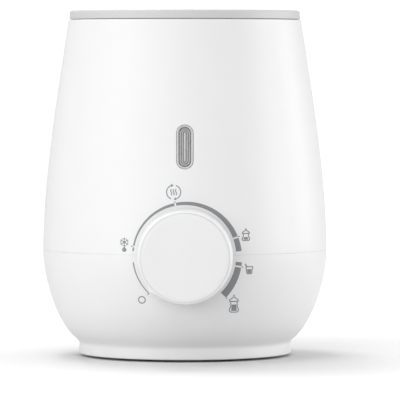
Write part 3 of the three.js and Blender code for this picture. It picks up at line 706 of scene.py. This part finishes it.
def base_plate():
    """Cover with vents, a shallow recess for a rating label, and posts that the power board sits on."""
    radius, bottom = base_high.x, base_low.z
    outline = rounded([(0.01, BASE_TOP), (radius, BASE_TOP), (radius, bottom, 0.4), (0.01, bottom)])
    piece = make("bottom_cover", revolve(outline))
    carve(piece, posts("board_post", 3, BASE_TOP - 1, POWER_BOARD_BOTTOM - GAP, BOARD_SCREWS), "UNION")
    slot = slot_solid([(0.01, -1), (1, -1), (1, 6), (0.01, 6)], 7)
    vents = [make("vent", slot, Matrix.Translation((x, AXIS_Y - 22, 0))) for x in (-10, -5, 0, 5, 10)]
    carve(piece, [
        *posts("post_hole", 1.4, 5.5, 14, BOARD_SCREWS),
        *posts("pad_pocket", PAD_RADIUS + 0.12, 0, 3, PADS),
        *posts("screw_hole", 1.7, 1, 5, BASE_SCREWS),
        *posts("screw_pocket", 3.1, 0, 3.3, BASE_SCREWS),
        block("label_recess", (-16, 16), (4, 24), (0, bottom + 0.4)),
        *vents,
    ])
    return finish_piece(piece, "housing", "white_shell", white_shell, "base_plate")


def rubber_feet():
    top = 2.7
    outline = rounded([
        (0.01, 0), (PAD_RADIUS - 1.2, 0, 0.3), (PAD_RADIUS, 0.5, 0.4), (PAD_RADIUS, top, 0.2), (0.01, top),
    ])
    for i, place in enumerate(PADS, 1):
        piece = make(f"foot_pad_{i}", revolve(outline, 64), place)
        finish_piece(piece, "housing", "foot_rubber", foot_rubber, f"rubber_foot_{i}")


def base_screws():
    """Pan-head screws with a cross recess, head down."""
    head = millimetres("base_screw_1")[0].z
    outline = rounded([
        (0.01, 0), (2.2, 0, 0.8), (2.7, 0.7, 0.4), (2.7, 1.3), (1.3, 1.3), (1.3, 9.4, 0.4), (0.01, 9.9),
    ])
    blade = [(0.01, -1), (0.35, -1), (0.2, 0.9), (0.01, 0.9)]
    for i, below in enumerate(BASE_SCREWS, 1):
        place = below @ Matrix.Translation((0, 0, head))
        piece = make(f"cover_screw_{i}", revolve(outline, 40), place)
        turns = [place @ Matrix.Rotation(turn, 4, "Z") for turn in (0, math.pi / 2)]
        carve(piece, [make("recess", slot_solid(blade, 1.1), turn) for turn in turns])
        finish_piece(piece, "housing", "bright_steel", screw_steel, f"base_screw_{i}")


def cord_grommet():
    outline = rounded([
        (3.6, -4.8), (5.6, -4.8), (6, -3.3), (4.7, -3.3), (4.7, 0.05), (6.2, 0.05, 0.2),
        (5.7, 1.8, 0.6), (3.6, 2.2, 0.5),
    ])
    piece = make("cord_bush", revolve(outline, 96), OUTLET)
    finish_piece(piece, "housing", "foot_rubber", grommet_rubber, "cord_grommet")


# ------------------------------------------------------------------ printed dial scale

INK_LIFT = 0.035
SCALE_RADIUS = 22.45  # inner edge of the printed arc
SCALE_START = 226.3  # degrees, anticlockwise from the right
SCALE_END = -45.5
SETTINGS = (169.5, 100.5, 19.8, -11.1)  # thaw, keep warm, small bottle, food
SEAM_BREAKS = ((187, 174.5), (5, -6.5))  # where the arc leaves the housings' joint free
LINE = 0.42


def printed(name, patches):
    """Thin layer of ink on the barrel, from patches that are grids of points (x, y) about the dial's axis."""
    vertices, faces = [], []
    for grid in patches:
        looped = (Vector(grid[0][0]) - Vector(grid[-1][0])).length < 0.01
        rows = grid[:-1] if looped else grid
        columns, offset = len(grid[0]), len(vertices)
        for lift in (-INK_LIFT, INK_LIFT):
            vertices += [front_point(x, KNOB_Z + y, lift) for row in rows for x, y in row]
        layer = len(rows) * columns
        quads = []
        for i in range(len(rows) if looped else len(rows) - 1):
            for j in range(columns - 1):
                a = offset + i * columns + j
                b = offset + (i + 1) % len(rows) * columns + j
                quads.append((a, a + 1, b + 1, b))
        edges = [pair for quad in quads for pair in zip(quad, quad[1:] + quad[:1])]
        rim = set(edges).difference((b, a) for a, b in edges)
        for quad in quads:
            faces += [quad[::-1], tuple(v + layer for v in quad)]
        faces += [(a, b, b + layer, a + layer) for a, b in sorted(rim)]
    return finish_piece(make(name, (vertices, faces)), "housing", "lens_grey", ink)


def polar(radius, angle):
    """Point at a radius and an angle in degrees."""
    return Vector((radius * math.cos(math.radians(angle)), radius * math.sin(math.radians(angle))))


def arc(radius, start, end, steps=24):
    return [polar(radius, start + (end - start) * i / steps) for i in range(steps + 1)]


def mirrored(points):
    """Points on the left, followed by their mirror images on the right."""
    return [Vector(p) for p in points] + [Vector((-x, y)) for x, y in reversed(points)]


def stroke(points, width=LINE):
    """Patch of a line of even width through points, which joins up when it ends where it starts."""
    points = [Vector(p) for p in points]
    steps = [(b - a).normalized() for a, b in zip(points, points[1:])]
    closed = (points[0] - points[-1]).length < 0.01
    before = [steps[-1] if closed else steps[0], *steps]
    after = [*steps, steps[0] if closed else steps[-1]]
    grid = []
    for at, into, out in zip(points, before, after):
        along = (into + out).normalized()
        side = Vector((-along.y, along.x)) * width / 2 / max(0.5, along.dot(out))
        grid.append([at + side, at - side])
    return grid


def filled(levels):
    """Patch between a left and a right edge, from levels (y, half width)."""
    return [[(-half, y), (0, y), (half, y)] for y, half in levels]


def disc_levels(radius, y, last):
    """Levels of a disc from its bottom up, in steps of 15 degrees up to the last."""
    turns = [math.radians(15 * i) for i in range(-6, last + 1)]
    return [(y + radius * math.sin(turn), radius * math.cos(turn) + 0.02) for turn in turns]


def disc(radius, y=0):
    return filled(disc_levels(radius, y, 6))


def wedge(tip, base, width):
    """Arrowhead from the middle of its base to its tip."""
    along = (tip - base).normalized()
    side = Vector((-along.y, along.x)) * width / 2
    return [[base + side, base - side], [tip + side * 0.05, tip - side * 0.05]]


def icon(name, x, y, patches):
    """Pictogram with its middle at (x, y) from the dial's axis."""
    printed(name, [[[(px + x, py + y) for px, py in row] for row in grid] for grid in patches])


def scale_width(angle):
    """Width of the arc, which grows clockwise from off."""
    return 0.4 + 2.8 * ((SCALE_START - angle) / (SCALE_START - SCALE_END)) ** 1.5


def band(start, end):
    """Patch of the arc between two angles."""
    steps = max(2, round((start - end) / 1.5))
    grid = []
    for i in range(steps + 1):
        angle = start + (end - start) * i / steps
        grid.append([polar(SCALE_RADIUS + scale_width(angle) * k / 3, angle) for k in range(4)])
    return grid


def dial_scale():
    """Arc round the knob, open at the joint of the housings and at each setting, where it has a tick."""
    gap = 0.9
    stops = [SCALE_START, *[a for pair in SEAM_BREAKS for a in pair], *SETTINGS, SCALE_END]
    stops.sort(reverse=True)
    patches = []
    for start, end in zip(stops, stops[1:]):
        if (start, end) not in SEAM_BREAKS:
            patches.append(band(start - gap * (start in SETTINGS), end + gap * (end in SETTINGS)))
    for angle in (SCALE_START, *SETTINGS, SCALE_END):
        outer = SCALE_RADIUS + scale_width(angle)
        patches.append(stroke([polar(outer + 0.05, angle), polar(outer + 0.75, angle)]))
    printed("print_scale", patches)


def snowflake():
    patches = [disc(0.72)]
    for turn in range(30, 390, 60):
        patches.append(stroke([polar(0.9, turn), polar(2.0, turn)], 0.34))
        patches.append(stroke([polar(1.75, turn - 24), polar(1.25, turn), polar(1.75, turn + 24)], 0.3))
    return patches


def drop(radius, height):
    """Round below, and drawn up to a point."""
    return filled(disc_levels(radius, 0, 1) + [(height * 0.55, radius * 0.42), (height, 0.03)])


def warm_cycle():
    """Two arrows that chase each other round three wisps of steam."""
    patches = []
    for start in (250, 70):
        end = start - 140
        patches.append(stroke(arc(3.08, start, end), 0.46))
        patches.append(wedge(polar(3.08, end - 19), polar(3.08, end), 1.5))
    for x in (-1.05, 0, 1.05):
        wisp = [(x + 0.22 * math.sin(math.pi * i / 6), (i - 6) * 0.22) for i in range(13)]
        patches.append(stroke(wisp))
    return patches


def bottle(width, height, collar, level):
    """Feeding bottle with a teat and a waisted body. Its collar and level are given as parts of its height."""
    half, waist = width / 2, width * 0.36
    dome = [
        (-half, collar * height), (-half * 0.92, (collar + 0.1) * height),
        (-half * 0.35, 0.31 * height), (-half * 0.12, 0.37 * height),
    ]
    sides = [
        (-waist, collar * height), (-waist, -0.18 * height),
        (-half, -0.3 * height), (-half, -0.42 * height), (-half * 0.7, -0.49 * height),
    ]
    inside = waist - LINE * 0.8
    return [
        disc(0.32, 0.46 * height),
        stroke(mirrored(dome)),
        stroke(mirrored([(-half, collar * height)]), 0.5),
        stroke(mirrored(sides)),
        filled([(-0.42 * height, inside * 1.15), (-0.2 * height, inside), (level * height, inside)]),
    ]


def cup():
    """Tapered cup, filled most of the way, with a spoon in it."""
    return [
        stroke([(-1.5, 1.1), (-1.0, -2.0)]),
        stroke([(1.0, -2.0), (1.5, 1.1)]),
        stroke([(-1.0, -2.0), (1.0, -2.0)]),
        stroke([(-1.6, 1.1), (1.6, 1.1)]),
        filled([(-1.7, 0.75), (0.0, 0.95)]),
        stroke([(-1.1, 1.3), (-1.9, 2.4)], 0.5),
    ]


def pictograms():
    icon("print_off", -18.8, -19.3, [stroke(arc(1.47, 0, 360), 0.46)])
    icon("print_thaw", -26.5, 6.0, snowflake())
    icon("print_thaw_drop", -26.5, 2.7, [drop(0.95, 1.7)])
    icon("print_keep_warm", -4.9, 28.0, warm_cycle())
    icon("print_small_bottle", 26.7, 9.3, bottle(3.2, 5.3, 0.09, -0.2))
    icon("print_food", 28.2, -5.9, cup())
    icon("print_large_bottle", 21.5, -21.0, bottle(3.9, 7.9, 0.12, -0.06))


# ------------------------------------------------------------------ scene


def studio():
    """White background, which lights the object less than it shows, and a disc of white paper to stand on."""
    world = bpy.data.worlds.new("studio")
    world.use_nodes = True
    tree = world.node_tree
    background = tree.nodes["Background"]
    background.inputs["Color"].default_value = (1, 1, 1, 1)
    ray = tree.nodes.new("ShaderNodeLightPath")
    strength = tree.nodes.new("ShaderNodeMapRange")
    strength.inputs["To Min"].default_value = 0.5
    strength.inputs["To Max"].default_value = 1.1
    tree.links.new(ray.outputs["Is Camera Ray"], strength.inputs["Value"])
    tree.links.new(strength.outputs["Result"], background.inputs["Strength"])
    bpy.context.scene.world = world

    floor = make("floor", (circle_ring(FLOOR_RADIUS, -0.05, 96), [tuple(range(96))]))
    floor.data.materials.append(floor_paper())


def floor_paper():
    """White paper with a painted shadow that greys it near the barrel, and which throws less light back up
    than the camera sees.
    """
    n = Nodes("floor_paper")
    away = n.add("ShaderNodeVectorMath", operation="DISTANCE")
    n.link(n.place(), away.inputs[0])
    away.inputs[1].default_value = (0, AXIS_Y * MM, 0)
    # Painted shadow: the paper's colour is grey near the barrel and fades to white further out, to deepen the
    # contact shadow round the foot.
    painted_shadow_fade = n.between(away.outputs["Value"], 0, 1, BODY_RADIUS * MM, FLOOR_RADIUS * MM / 2)
    paper_with_painted_shadow = n.mix(painted_shadow_fade, (0.75, 0.75, 0.75), (1, 1, 1))
    ray = n.add("ShaderNodeLightPath")
    colour = n.mix(ray.outputs["Is Camera Ray"], (0.64, 0.64, 0.64), paper_with_painted_shadow)
    n.link(colour, n.shader.inputs["Base Color"])
    n.shader.inputs["Roughness"].default_value = 0.9
    n.shader.inputs["Specular IOR Level"].default_value = 0
    return n.material


def softbox(name, turn, lift, power, distance=1.5, size=0.6):
    """Square light aimed at the barrel, turned from the front (left is negative) and lifted, in degrees."""
    data = bpy.data.lights.new(name, "AREA")
    data.size = size
    data.energy = power
    turn, lift = math.radians(turn), math.radians(lift)
    reach = distance * math.cos(lift)
    target = Vector((0, AXIS_Y * MM, upper_high.z / 2 * MM))
    offset = Vector((reach * math.sin(turn), -reach * math.cos(turn), distance * math.sin(lift)))
    light = bpy.data.objects.new(name, data)
    light.location = target + offset
    light.rotation_euler = (-offset).to_track_quat("-Z", "Y").to_euler()
    bpy.context.scene.collection.objects.link(light)


def lights():
    """A wall of soft light round the front left, a dimmer pair at the right, two behind and one above."""
    softbox("left_1", turn=-10, lift=12, power=1.5)
    softbox("left_2", turn=-30, lift=12, power=3.0)
    softbox("left_3", turn=-55, lift=12, power=3.7)
    softbox("left_high", turn=-50, lift=45, power=2.4)
    softbox("left_4", turn=-80, lift=12, power=1.0)
    softbox("right_1", turn=80, lift=8, power=6.0)
    softbox("right_2", turn=110, lift=8, power=5.0)
    softbox("behind_left", turn=-150, lift=65, power=9)
    softbox("behind_right", turn=150, lift=65, power=2.5)
    softbox("above", turn=-30, lift=72, power=3.2)


def camera():
    """Long lens from in front of the barrel, a little below its top, looking slightly down."""
    data = bpy.data.cameras.new("camera")
    data.lens, data.sensor_width = 358.65, 36
    data.clip_start, data.clip_end = 0.05, 40
    view = bpy.data.objects.new("camera", data)
    view.location = (0, AXIS_Y * MM - 1.8, 0.1336)
    target = Vector((0.00684, AXIS_Y * MM, 0.070))
    view.rotation_euler = (target - view.location).to_track_quat("-Z", "Y").to_euler()
    bpy.context.scene.collection.objects.link(view)
    bpy.context.scene.camera = view


upper_housing()
lower_housing()
rim_ring()
bowl()
heating_plate()
indicator_lens()
lens_bezel()
knob()
base_plate()
rubber_feet()
base_screws()
cord_grommet()
dial_scale()
pictograms()

slots = {row["node"]: row["material_slot"] for row in frame["record"]["subparts"]}
for node, piece in frame["nodes"].items():
    if slots[node] in INNER_FINISHES:
        piece.data.materials.clear()
        piece.data.materials.append(INNER_FINISHES[slots[node]])

camera()
studio()
lights()
bpy.context.scene.view_settings.view_transform = "Standard"
